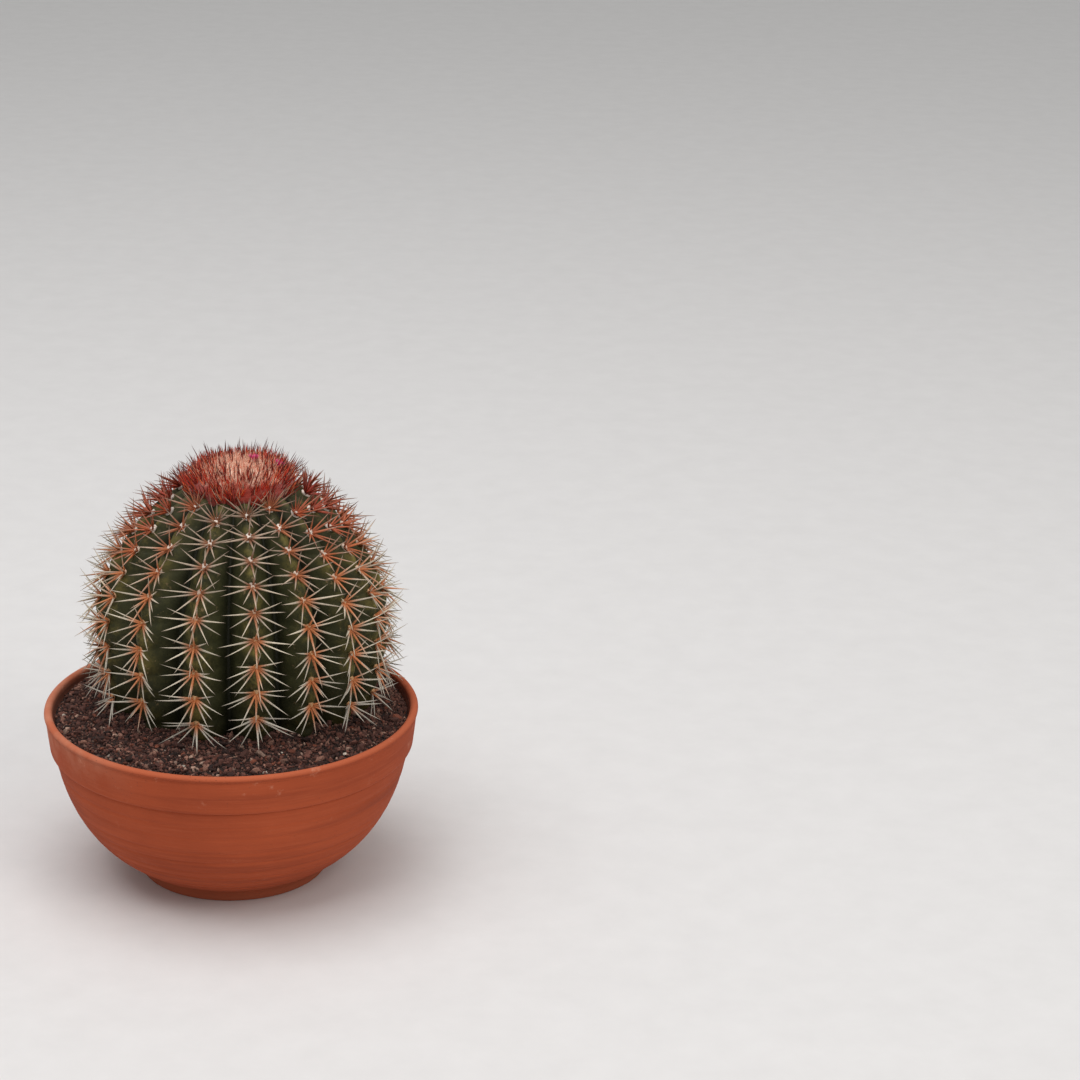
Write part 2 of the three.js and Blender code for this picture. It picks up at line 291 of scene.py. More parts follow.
def bowl_outline():
    collar_foot = BOWL_HEIGHT - COLLAR_HEIGHT
    collar_radius = LIP_RADIUS - COLLAR_TAPER
    lip_line = BOWL_HEIGHT - LIP_BEAD
    foot = [
        (DRAIN_RADIUS, FOOT_RECESS),
        (FOOT_RADIUS - FOOT_WIDTH - FOOT_RECESS, FOOT_RECESS),
        (FOOT_RADIUS - FOOT_WIDTH, 0),
        (FOOT_RADIUS, 0),
        (FOOT_RADIUS - FOOT_TAPER, FOOT_HEIGHT),
    ]
    outline = rounded(foot, FOOT_ROUNDING)
    outline += wall_outline(0, WALL_STEPS, start=WALL_START, lined=True)
    collar = [
        (collar_radius - COLLAR_STEP, collar_foot - STEP_HEIGHT),
        (collar_radius - COLLAR_STEP - LEDGE_UNDERCUT, collar_foot - LEDGE_LIP),
        (collar_radius - LEDGE_LIP, collar_foot - 0.7 * MM),
        (collar_radius, collar_foot + 0.8 * MM),
        (collar_radius + COLLAR_BULGE, collar_foot + BULGE_HEIGHT),
        (LIP_RADIUS - 0.8 * MM, lip_line - LIP_LINE_REACH),
        (LIP_RADIUS - LIP_LINE_DEPTH, lip_line),
        (LIP_RADIUS - 0.5 * MM, lip_line + LIP_LINE_REACH),
        (LIP_RADIUS - 0.1 * MM, BOWL_HEIGHT - LIP_WALL / 2),
    ]
    outline += rounded(collar, COLLAR_ROUNDING)[1:]
    bead = LIP_WALL / 2
    for step in range(BEAD_STEPS + 1):
        angle = math.pi * step / BEAD_STEPS
        radius = LIP_RADIUS - bead + bead * math.cos(angle)
        outline.append((radius, BOWL_HEIGHT - bead + bead * math.sin(angle)))
    inside = list(reversed(wall_outline(BOWL_WALL, INSIDE_STEPS)))
    top_inside = inside[0]
    for step in range(1, MOUTH_STEPS):
        t = step / MOUTH_STEPS
        height = (BOWL_HEIGHT - bead) * (1 - t) + top_inside[1] * t
        outline.append((MOUTH_RADIUS * (1 - t) + top_inside[0] * t, height))
    outline += inside
    outline.append((DRAIN_RADIUS + DRAIN_CHAMFER, inside[-1][1]))
    outline.append((DRAIN_RADIUS, inside[-1][1] - DRAIN_CHAMFER))
    return outline


CLAY_DEEP = (0.330, 0.058, 0.020)
CLAY_LIGHT = (0.450, 0.086, 0.030)
DARK_STREAK = (0.240, 0.041, 0.016)
PALE_STREAK = (0.480, 0.108, 0.044)
WORN_LIP = (0.520, 0.140, 0.062)
CHALK = (0.560, 0.230, 0.140)
PIT_BROWN = (0.17, 0.05, 0.025)
FOOT_DUST = (0.30, 0.110, 0.062)
# painted shade for the inner wall between the lip and the soil
INNER_WALL_SHADE = (0.075, 0.022, 0.012)


def make_terracotta():
    clay = Finish("terracotta", Specular_IOR_Level=0.25)
    height = clay.node("ShaderNodeSeparateXYZ", inputs={"Vector": clay.place()}, output="Z")
    left = clay.node("ShaderNodeSeparateXYZ", inputs={"Vector": clay.place()}, output="X")
    reach = clay.node(
        "ShaderNodeVectorMath",
        {"operation": "LENGTH"},
        {"Vector": clay.stretched(1, 0)},
        output="Value",
    )
    streaks = clay.clouds(9, 5, 0.6, clay.stretched(0.7, 16))
    fine_streaks = clay.clouds(60, 3, 0.6, clay.stretched(0.5, 12))
    patches = clay.clouds(14, 5, 0.55)
    grain = clay.clouds(900, 3, 0.6)
    body = clay.ramp(patches, (0.25, CLAY_DEEP), (0.75, CLAY_LIGHT))
    body = clay.mixed(streaks.rises(0.42, 0.72) * 0.6, body, DARK_STREAK)
    body = clay.mixed(fine_streaks.rises(0.5, 0.75) * 0.30, body, PALE_STREAK)
    lip = height.rises(BOWL_HEIGHT - 2.6 * MM, BOWL_HEIGHT - 0.3 * MM)
    body = clay.mixed(lip * 0.5, body, WORN_LIP)
    chalk_spots = clay.clouds(75, 6, 0.7).rises(0.60, 0.70)
    near_rim = height.rises(BOWL_HEIGHT - 26 * MM, BOWL_HEIGHT - 4 * MM)
    crust = clay.clouds(30, 5, 0.6).rises(0.30, 0.60) * (1 - left.rises(-95 * MM, -35 * MM))
    chalk = chalk_spots * (near_rim * 0.45 + 0.10) + crust * near_rim * 0.7
    body = clay.mixed(chalk, body, CHALK)
    pits = clay.node("ShaderNodeTexVoronoi", inputs={"Vector": clay.place(), "Scale": 420.0})
    pit = (1 - pits.rises(0.05, 0.16)) * clay.clouds(60).rises(0.5, 0.6)
    body = clay.mixed(pit * 0.55, body, PIT_BROWN)
    dusty = 1 - height.rises(2 * MM, 13 * MM)
    body = clay.mixed(dusty * 0.35, body, FOOT_DUST)
    # Painted shade: the inner wall between the lip and the soil is painted dark where the lip's shadow
    # falls.
    inner = 1 - reach.rises(MOUTH_RADIUS - 0.2 * MM, MOUTH_RADIUS + 0.8 * MM)
    inner_wall_shade_mask = inner * (1 - height.rises(BOWL_HEIGHT - 4 * MM, BOWL_HEIGHT - 1.5 * MM))
    inner_wall_shade_mask *= height.rises(BOWL_HEIGHT - 18 * MM, BOWL_HEIGHT - 16 * MM)
    body = clay.mixed(inner_wall_shade_mask * 0.8, body, INNER_WALL_SHADE)
    clay.feed(Base_Color=body, Roughness=0.78 + grain * 0.2)
    relief = grain * 0.35 + streaks * 0.5 + fine_streaks * 0.5 - pit * 0.8
    clay.bumped(relief, 0.35 * MM, 0.8)
    return clay


BOWL_SIDES = 288
bowl = bowl_outline()
new_piece(
    "terracotta_bowl",
    turned_points(bowl, BOWL_SIDES),
    ring_faces(len(bowl), BOWL_SIDES, closed_rows=True),
    make_terracotta(),
    ["pot"],
)


# The soil
# Dark crushed lava and pumice with a little loam, poured round the plant and heaped towards it. The fill
# is one body; the grit that shows on it is loose angular grains, most of them a millimetre or two across.

stem_low, stem_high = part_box("cactus_stem")
soil_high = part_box("soil")[1]
STEM_RADIUS = (stem_high.x - stem_low.x) / 2
PLANT = Vector(((stem_low.x + stem_high.x) / 2, (stem_low.y + stem_high.y) / 2, 0))
SOIL_AT_STEM = soil_high.z
SOIL_BELOW_RIM = 6 * MM
SOIL_AT_WALL = BOWL_HEIGHT - SOIL_BELOW_RIM
SOIL_EDGE = MOUTH_RADIUS - 1.6 * MM
MOUND_RADIUS = STEM_RADIUS * 0.75
HUMPS = ((0, 55, 1.1 * MM), (3, 160, 0.5 * MM))  # layer, fineness, height
FILL_SIDES = 120
FILL_ROWS = 60
FILL_WALL_STEPS = 10
FILL_GAP = 0.4 * MM
GRIT_SPACING = 1.7 * MM
GRIT_SIZES = (0.55 * MM, 1.5 * MM)
CHUNK_SPACING = 5.2 * MM
CHUNK_SIZES = (1.4 * MM, 2.6 * MM)
CHUNK_SHARE = 0.55
GRAIN_ROW_PITCH = 0.866  # of the spacing, so that the rows interlock
GRAIN_SLIP = 0.45  # of the spacing, either way
GRAIN_TO_WALL = 0.8 * MM
BARE_UNDER_STEM = 0.72  # of the stem's radius
LOAM_DARK = (0.010, 0.0045, 0.003)
LOAM_LIGHT = (0.034, 0.015, 0.010)
PORE_DARK = (0.020, 0.010, 0.008)


def soil_height(x, y):
    """The soil's surface, heaped towards the stem, with the small humps that watering leaves."""
    reach = math.hypot(x, y)
    climb = min(max((SOIL_EDGE - reach) / (SOIL_EDGE - MOUND_RADIUS), 0), 1)
    humps = sum(noise.noise(Vector((x, y, layer)) * fine) * height for layer, fine, height in HUMPS)
    return SOIL_AT_WALL + (SOIL_AT_STEM - SOIL_AT_WALL) * climb + humps


def make_soil():
    soil = Finish("loam_between_grit", Roughness=0.95)
    lumps = soil.clouds(420, 6, 0.7)
    body = soil.ramp(lumps, (0.3, LOAM_DARK), (0.7, LOAM_LIGHT))
    soil.feed(Base_Color=body)
    soil.bumped(lumps, 1.2 * MM)
    return soil


def make_grit():
    grit = Finish("lava_grit", Roughness=0.93)
    tint = grit.painted("grain_tint")
    pores = grit.clouds(1500, 4, 0.7)
    pitted = grit.mixed(0.45, tint, PORE_DARK)
    grit.feed(Base_Color=grit.mixed(pores.rises(0.35, 0.65), tint, pitted))
    grit.bumped(pores, 0.3 * MM)
    return grit


def make_soil_fill():
    inside = wall_outline(BOWL_WALL + FILL_GAP, FILL_WALL_STEPS)
    wall_top = Vector(inside[-1])
    points = []
    outline = inside + [tuple(wall_top.lerp(Vector((SOIL_EDGE, SOIL_AT_WALL - 1 * MM)), 0.6))]
    for radius, height in outline:
        for side in range(FILL_SIDES):
            angle = 2 * math.pi * side / FILL_SIDES
            points.append((radius * math.cos(angle), radius * math.sin(angle), height))
    for row in range(FILL_ROWS):
        radius = SOIL_EDGE * (1 - row / FILL_ROWS)
        for side in range(FILL_SIDES):
            angle = 2 * math.pi * side / FILL_SIDES
            x, y = radius * math.cos(angle), radius * math.sin(angle)
            points.append((x, y, soil_height(x, y)))
    total_rows = len(outline) + FILL_ROWS
    faces = ring_faces(total_rows, FILL_SIDES)
    top = len(points)
    points.append((0, 0, soil_height(0, 0)))
    points.append((0, 0, outline[0][1]))
    last = (total_rows - 1) * FILL_SIDES
    for side in range(FILL_SIDES):
        right = (side + 1) % FILL_SIDES
        faces.append((last + side, last + right, top))
        faces.append((right, side, top + 1))
    new_piece("soil_fill", points, faces, make_soil(), ["soil"])


GRAIN_TINTS = (
    # share of the grains up to this tint, and the tint
    (0.34, (0.080, 0.027, 0.018)),
    (0.62, (0.145, 0.055, 0.038)),
    (0.74, (0.035, 0.014, 0.010)),
    (0.89, (0.260, 0.128, 0.090)),
    (0.965, (0.160, 0.046, 0.024)),
    (0.995, (0.400, 0.255, 0.190)),
    (1.0, (0.680, 0.580, 0.480)),
)


def grain_tint(chance):
    for limit, colour in GRAIN_TINTS:
        if chance <= limit:
            return colour
    return GRAIN_TINTS[-1][1]


def rock_shape():
    """The points and faces of a rough twenty-sided grain of radius 1."""
    golden = (1 + math.sqrt(5)) / 2
    corners = []
    for first in (-1, 1):
        for second in (-golden, golden):
            corners += [(0, first, second), (first, second, 0), (second, 0, first)]
    points = [Vector(corner).normalized() for corner in corners]
    edge = min((points[0] - other).length for other in points[1:]) * 1.05
    faces = []
    for a in range(12):
        for b in range(a + 1, 12):
            for c in range(b + 1, 12):
                close = all((points[i] - points[j]).length < edge for i, j in ((a, b), (b, c), (a, c)))
                if close:
                    outward = (points[b] - points[a]).cross(points[c] - points[a]).dot(points[a]) > 0
                    faces.append((a, b, c) if outward else (a, c, b))
    return points, faces


def paint(piece, name, colours):
    """Stores a colour for each point of the mesh."""
    layer = piece.data.color_attributes.new(name, "FLOAT_COLOR", "POINT")
    flat = [channel for colour in colours for channel in (*colour[:3], 1.0)]
    layer.data.foreach_set("color", flat)


def give_cells(piece, faces_per_cell, cells):
    """A baking map on which each small copy in the mesh has a square cell of its own."""
    side = math.ceil(math.sqrt(cells))
    layer = piece.data.uv_layers.new(name="OFBake")
    spots = ((0.15, 0.15), (0.85, 0.15), (0.5, 0.85), (0.15, 0.85))
    for polygon in piece.data.polygons:
        cell = polygon.index // faces_per_cell
        left = (cell % side) / side
        low = (cell // side) / side
        for place, loop in enumerate(polygon.loop_indices):
            u, v = spots[place % 4]
            layer.data[loop].uv = (left + u / side, low + v / side)


def scatter_grains(parts, chance, spacing, sizes, kept_share):
    """Adds rough grains all over the open soil, on a jittered grid."""
    points, faces, tints = parts
    shape, shape_faces = rock_shape()
    smallest, largest = sizes
    rows = int(2 * SOIL_EDGE / (spacing * GRAIN_ROW_PITCH)) + 2
    for row in range(rows):
        for column in range(int(2 * SOIL_EDGE / spacing) + 2):
            slip_x, slip_y = (chance.uniform(-GRAIN_SLIP, GRAIN_SLIP) * spacing for _ in range(2))
            x = -SOIL_EDGE + (column + 0.5 * (row % 2)) * spacing + slip_x
            y = -SOIL_EDGE + row * spacing * GRAIN_ROW_PITCH + slip_y
            size = smallest + (largest - smallest) * chance.random() ** 1.6
            outside = math.hypot(x, y) > MOUTH_RADIUS - GRAIN_TO_WALL - size
            under_stem = math.hypot(x - PLANT.x, y - PLANT.y) < STEM_RADIUS * BARE_UNDER_STEM
            if outside or under_stem or chance.random() > kept_share:
                continue
            tint = grain_tint(chance.random())
            shade = chance.uniform(0.45, 1.55)
            centre = Vector((x, y, soil_height(x, y) + size * chance.uniform(0.05, 0.6)))
            turn = Vector([chance.uniform(-1, 1) for _ in range(3)]).normalized().to_track_quat("Z", "Y")
            stretch = Vector((chance.uniform(0.8, 1.45), chance.uniform(0.7, 1.2), chance.uniform(0.4, 0.8)))
            start = len(points)
            for corner in shape:
                rough = corner * chance.uniform(0.75, 1.25) * size
                points.append(centre + turn @ Vector(a * b for a, b in zip(rough, stretch)))
                tints.append([channel * shade for channel in tint])
            faces += [tuple(start + index for index in face) for face in shape_faces]
    return len(shape_faces)


def make_grit_grains():
    chance = random.Random(7)
    parts = ([], [], [])
    scatter_grains(parts, chance, GRIT_SPACING, GRIT_SIZES, 1.0)
    faces_per_grain = scatter_grains(parts, chance, CHUNK_SPACING, CHUNK_SIZES, CHUNK_SHARE)
    grains = new_piece("lava_grit", parts[0], parts[1], make_grit(), [], smooth=False)
    paint(grains, "grain_tint", parts[2])
    give_cells(grains, faces_per_grain, len(parts[1]) // faces_per_grain)


make_soil_fill()
make_grit_grains()


# The stem
# One round fleshy stem, grown as a single piece: sixteen upright ribs that swell into blunt chins between
# the areoles, with narrow folds between the ribs. Its skin is dull olive, marked with age on the crests,
# with painted highlight on the chins and painted shade in the folds.

STEM_CROWN_RISE = 81.5 * MM
STEM_ROOT_DROP = (stem_high.z - stem_low.z) - STEM_CROWN_RISE
WAIST_HEIGHT = stem_low.z + STEM_ROOT_DROP
SHOULDER_FULLNESS = 1.68
FLANK_FULLNESS = 4
RIB_COUNT = 16
GROOVE_DEPTH = 18 * MM
CREST_ROUNDING = 0.17
FIRST_RIB_TURN = math.radians(11.4)
RIB_CROWDING = math.radians(3.3)
CROWDING_TURN = math.radians(24)
AREOLE_BELOW_CAP = 4 * MM
AREOLE_STAGGERS = (
    # rib by rib, how far down its first areole sits, as a share of the pitch
    *(0.33, 0.08, 0.62, 0.8, 0.25, 0.55, 0.05, 0.45),
    *(0.9, 0.35, 0.7, 0.15, 0.5, 0.79, 0.15, 0.66),
)
AREOLE_PITCH = 13.8 * MM
AREOLE_PITCH_GAIN = 0.1 * MM
CHIN_SWELL = 2.6 * MM
STEM_ROWS = 250
COLUMNS_PER_RIB = 22


def crest_point(polar):
    """Radius and height of a rib's crest; polar is 0 at the crown and pi at the buried end."""
    above = polar <= math.pi / 2
    fullness = SHOULDER_FULLNESS if above else FLANK_FULLNESS
    rise = STEM_CROWN_RISE if above else STEM_ROOT_DROP
    side, up = math.sin(polar), math.cos(polar)
    scale = (abs(side) ** fullness + abs(up) ** fullness) ** (-1 / fullness)
    return STEM_RADIUS * scale * side, WAIST_HEIGHT + rise * scale * up


def rib_turn(rib):
    even = FIRST_RIB_TURN + rib * 2 * math.pi / RIB_COUNT
    return even + RIB_CROWDING * (math.cos(2 * (even - CROWDING_TURN)) - 1)


def outward(turn):
    """Level direction away from the plant's axis; turns are counted from -Y towards +X."""
    return Vector((math.sin(turn), -math.cos(turn), 0))


CREST_STEPS = 1440
crest_walk = []
walked = 0.0
last_radius, last_height = crest_point(0)
for crest_step in range(CREST_STEPS + 1):
    crest_polar = math.pi * crest_step / CREST_STEPS
    crest_radius, crest_height = crest_point(crest_polar)
    walked += math.hypot(crest_radius - last_radius, crest_height - last_height)
    crest_walk.append((walked, crest_radius, crest_height, crest_polar))
    last_radius, last_height = crest_radius, crest_height


def walk_crest(distance):
    """Radius, height and polar angle at a distance down the crest from the crown."""
    low, high = 0, CREST_STEPS
    while high - low > 1:
        middle = (low + high) // 2
        if crest_walk[middle][0] <= distance:
            low = middle
        else:
            high = middle
    before, after = crest_walk[low], crest_walk[high]
    share = (distance - before[0]) / max(after[0] - before[0], 1e-9)
    return [a + (b - a) * share for a, b in zip(before[1:], after[1:])]


cap_low, cap_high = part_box("cephalium")
CAP_RADIUS = (cap_high.x - cap_low.x) / 2
FIRST_AREOLE = min(step[0] for step in crest_walk if step[1] > CAP_RADIUS) + AREOLE_BELOW_CAP


def areole_distance(rib, count):
    first = FIRST_AREOLE + AREOLE_PITCH * AREOLE_STAGGERS[rib]
    return first + AREOLE_PITCH * count + AREOLE_PITCH_GAIN * count * count


def chin(rib, distance):
    """0 at an areole, 1 at the fullest of the chin below it."""
    count = 0
    while areole_distance(rib, count + 1) < distance:
        count += 1
    start, end = areole_distance(rib, count), areole_distance(rib, count + 1)
    share = (distance - start) / (end - start)
    if share < 0:
        share %= 1
    lopsided = share ** 0.8
    return math.sin(math.pi * lopsided)


def skin_point(rib, across, distance):
    """A point of the skin; across is -1 to 1 from fold to fold, 0 on the crest."""
    radius, height, polar = walk_crest(distance)
    fullness = math.sin(polar) ** 1.2
    fold = abs(across)
    flank = math.hypot(fold, CREST_ROUNDING) - CREST_ROUNDING
    depth = GROOVE_DEPTH * fullness * flank / (math.hypot(1, CREST_ROUNDING) - CREST_ROUNDING)
    swell = CHIN_SWELL * fullness * chin(rib, distance) * (1 - fold) ** 0.7
    turn = rib_turn(rib + across / 2)
    ripple = noise.noise(Vector((turn * 4, distance * 60, 0))) * 0.5 * MM * fullness
    reach = radius - depth + swell - 0.55 * CHIN_SWELL * fullness * (1 - fold) + ripple
    lift = swell * 0.35 * math.cos(polar)
    return PLANT + outward(turn) * reach + Vector((0, 0, height + lift))


SKIN_DARK = (0.022, 0.024, 0.008)
SKIN_GREEN = (0.042, 0.042, 0.014)
SKIN_MOTTLE = (0.070, 0.066, 0.022)
# partly the crests' own yellowing, partly painted highlight on the chins
CREST_YELLOW_AND_HIGHLIGHT = (0.225, 0.180, 0.045)
SCAR_CORK = (0.26, 0.18, 0.09)
CROWN_BLOOM = (0.060, 0.058, 0.026)
SKIN_BY_SOIL = (0.012, 0.011, 0.004)
# painted shade for the folds between the ribs
FOLD_SHADE = (0.006, 0.0065, 0.0025)


def make_skin():
    skin = Finish("cactus_skin", Specular_IOR_Level=0.22)
    zones = skin.painted("skin_zones")
    crestness = skin.node("ShaderNodeSeparateColor", inputs={"Color": zones}, output="Red")
    rise = skin.node("ShaderNodeSeparateColor", inputs={"Color": zones}, output="Green")
    chins = skin.node("ShaderNodeSeparateColor", inputs={"Color": zones}, output="Blue")
    clouds = skin.clouds(35, 5, 0.6)
    mottle = skin.clouds(220, 5, 0.65)
    body = skin.ramp(clouds, (0.3, SKIN_DARK), (0.7, SKIN_GREEN))
    body = skin.mixed(mottle.rises(0.45, 0.7) * 0.5, body, SKIN_MOTTLE)
    crest = crestness.rises(0.40, 0.95) * (chins * 0.8 + 0.2)
    # Light yellow patches on the crests, strongest on the chins: partly the skin's own yellowing, partly
    # painted highlight where the chins catch the light.
    crest_yellow_and_highlight_mask = skin.clouds(80, 6, 0.7).rises(0.42, 0.64) * crest
    body = skin.mixed(crest_yellow_and_highlight_mask * 0.85, body, CREST_YELLOW_AND_HIGHLIGHT)
    scar = skin.clouds(260, 4, 0.6).rises(0.63, 0.70) * crestness.rises(0.2, 0.7)
    body = skin.mixed(scar * 0.7, body, SCAR_CORK)
    body = skin.mixed(rise.rises(0.55, 1.0) * 0.30, body, CROWN_BLOOM)
    low = 1 - rise.rises(0.0, 0.4)
    body = skin.mixed(low * 0.4, body, SKIN_BY_SOIL)
    # Painted shade in the folds between the ribs, darkest deep in each crease.
    fold = 1 - crestness.rises(0.02, 0.42)
    body = skin.mixed(fold * 0.82, body, FOLD_SHADE)
    skin.feed(Base_Color=body, Roughness=0.50 + mottle * 0.22 + scar * 0.2)
    skin.bumped(mottle * 0.5 + skin.clouds(1200, 3) * 0.3 + scar * 0.5, 0.25 * MM)
    return skin


def make_stem():
    columns = RIB_COUNT * COLUMNS_PER_RIB
    total = crest_walk[-1][0]
    points = [PLANT + Vector((0, 0, stem_high.z))]
    zones = [(0, 1, 0)]
    for row in range(1, STEM_ROWS):
        distance = total * row / STEM_ROWS
        for column in range(columns):
            rib = (column + COLUMNS_PER_RIB // 2) // COLUMNS_PER_RIB
            across = 2 * (column / COLUMNS_PER_RIB - rib)
            point = skin_point(rib % RIB_COUNT, across, distance)
            points.append(point)
            rise = (point.z - SOIL_AT_STEM) / (stem_high.z - SOIL_AT_STEM)
            zones.append((1 - abs(across), max(rise, 0), chin(rib % RIB_COUNT, distance)))
    points.append(PLANT + Vector((0, 0, stem_low.z)))
    zones.append((0, 0, 0))
    faces = capped_faces(STEM_ROWS, columns)
    stem = new_piece("cactus_stem_skin", points, faces, make_skin(), ["cactus_stem"])
    paint(stem, "skin_zones", zones)


make_stem()


# The areoles and spines
# Every notch on a rib carries an areole, a small pad of pale felt, from which ten stiff spines or more
# fan out: pairs to the sides, a stouter one down the crest and one that stands off it. They start rust red
# and weather to chalky grey.

SPINE_FANS = (
    # degrees from straight down the rib, degrees off the skin, length in mm, root radius in mm, redness
    (110, 38, 20.5, 0.62, 0.32),
    (86, 32, 23, 0.74, 0.20),
    (62, 31, 22.5, 0.72, 0.24),
    (34, 26, 20, 0.66, 0.34),
)
CENTRE_SPINE = (2, 30, 20, 0.84, 0.95)
OUTER_SPINE = (14, 62, 17, 0.72, 0.9)
CROWN_SPINE = (166, 50, 15, 0.6, 0.6)
CAP_FANS = ((132, 50, 16, 0.46, 1.0), (156, 56, 15, 0.44, 1.0), (104, 48, 16, 0.46, 1.0))
SPINE_SIDES = 6
SPINE_RINGS = 8
SPINE_TAPER = 0.75
SPINE_FLARE = 1.25  # of the girth at the root
NEEDLE_FORM = (SPINE_RINGS, SPINE_SIDES, SPINE_TAPER, SPINE_FLARE)
CROWN_SPINE_FROM = 0.3  # share of the stem's height from which an areole has its upward spine
SPINE_CLEARANCE = 1.4 * MM
SPINE_DISORDER = 7  # degrees either way
LOWEST_AREOLE = 4.5 * MM
AREOLE_RISE = 0.2 * MM
FELT_LENGTH = 2.3 * MM
FELT_WIDTH = 1.8 * MM
FELT_HEIGHT = 1.1 * MM
IVORY = Vector((0.68, 0.60, 0.46))
GREY = Vector((0.52, 0.48, 0.41))
TAN = Vector((0.30, 0.165, 0.115))
RUST = Vector((0.58, 0.20, 0.070))
DUSTY = Vector((0.27, 0.12, 0.065))
BLOOD = Vector((0.36, 0.036, 0.018))
TIP_BROWN = Vector((0.12, 0.045, 0.028))
FELT = Vector((0.60, 0.33, 0.15))
NEW_FELT = Vector((0.86, 0.76, 0.66))
HORN_STAIN = (0.08, 0.04, 0.025)


def make_spine_finish():
    horn = Finish("spine_horn", Roughness=0.42, Specular_IOR_Level=0.4)
    colour = horn.painted("spine_tint")
    bands = horn.clouds(700, 3, 0.6)
    stained = horn.mixed(0.5, colour, HORN_STAIN)
    horn.feed(Base_Color=horn.mixed(bands.rises(0.35, 0.75) * 0.35, colour, stained))
    horn.feed(Roughness=0.36 + bands * 0.25)
    horn.bumped(bands, 0.08 * MM)
    return horn


def clear_direction(root, direction, length):
    """Tips up a spine that would end in the soil or the bowl's lip, so that it lies just clear of them."""
    tip = root + direction * length
    over_lip = math.hypot(tip.x, tip.y) > MOUTH_RADIUS - SPINE_CLEARANCE
    floor = (BOWL_HEIGHT if over_lip else soil_height(tip.x, tip.y)) + SPINE_CLEARANCE
    if tip.z > floor:
        return direction
    climb = (floor - root.z) / length
    level = Vector((direction.x, direction.y, 0)).normalized()
    return level * math.sqrt(1 - climb * climb) + Vector((0, 0, climb))


def add_needle(parts, root, direction, bend, length, radius, shade, rings, sides, taper, flare=1):
    """Adds one curved, tapering, closed needle; shade gives the colour at a share of its length."""
    points, faces, tints = parts
    start = len(points)
    side = direction.orthogonal().normalized()
    other = direction.cross(side)
    for ring in range(rings):
        share = ring / rings
        centre = root + direction * length * share + bend * length * share * share
        girth = radius * (1 - share) ** taper * (flare if ring == 0 else 1)
        for corner in range(sides):
            angle = 2 * math.pi * corner / sides
            points.append(centre + (side * math.cos(angle) + other * math.sin(angle)) * girth)
            tints.append(shade(share))
    points.append(root + direction * length + bend * length)
    tints.append(shade(1))
    tip = len(points) - 1
    faces.append(tuple(start + corner for corner in reversed(range(sides))))
    for ring in range(rings - 1):
        low = start + ring * sides
        high = low + sides
        for corner in range(sides):
            right = (corner + 1) % sides
            faces.append((low + corner, low + right, high + right, high + corner))
    top = tip - sides
    for corner in range(sides):
        faces.append((top + corner, top + (corner + 1) % sides, tip))


def add_felt(parts, centre, down, side, out, tint, size, chance):
    """Adds a small lumpy pad of felt, oval along the crest."""
    points, faces, tints = parts
    start = len(points)
    rows, columns = 6, 10
    for row in range(1, rows):
        polar = math.pi * row / rows
        for column in range(columns):
            angle = 2 * math.pi * column / columns
            lump = chance.uniform(0.85, 1.2) * size
            flat = down * math.cos(angle) * FELT_LENGTH + side * math.sin(angle) * FELT_WIDTH
            points.append(centre + (flat * math.sin(polar) + out * math.cos(polar) * FELT_HEIGHT) * lump)
            tints.append(tint * chance.uniform(0.7, 1.2))
    points += [centre + out * FELT_HEIGHT * size, centre - out * FELT_HEIGHT * size]
    tints += [tint, tint]
    top, bottom = len(points) - 2, len(points) - 1
    last = start + (rows - 2) * columns
    for column in range(columns):
        right = (column + 1) % columns
        faces.append((start + column, start + right, top))
        faces.append((last + right, last + column, bottom))
        for row in range(rows - 2):
            high = start + row * columns
            low = high + columns
            faces.append((low + column, low + right, high + right, high + column))


def spine_shade(redness, height_share, side_glow_and_tint, wear):
    """Colour along a spine: rust at the root, ivory or grey beyond, brown at the point."""
    old = GREY.lerp(IVORY, min(height_share * 2.2, 1)).lerp(TAN, max(height_share - 0.45, 0) * 1.5)
    # The side redness is partly the spines' own red, partly painted light shining through them at the
    # plant's sides.
    fresh = min(max(height_share - 0.62, 0) * 3.6 * side_glow_and_tint * side_glow_and_tint, 1)
    young = DUSTY.lerp(RUST, side_glow_and_tint).lerp(BLOOD, fresh)
    flush = min(redness * (0.55 + 0.75 * side_glow_and_tint) + fresh, 1)
    if height_share < 0.14:
        flush *= 0.35

    def shade(share):
        root = max(1 - share / (0.16 + 0.80 * flush), 0)
        colour = old.lerp(young, min(root * 1.6 + 0.7 * fresh, 1))
        point = max((share - 0.75 + 0.4 * fresh) / (0.25 + 0.4 * fresh), 0)
        colour = colour.lerp(TIP_BROWN, point * (0.5 + 0.5 * height_share))
        return colour * wear

    return shade


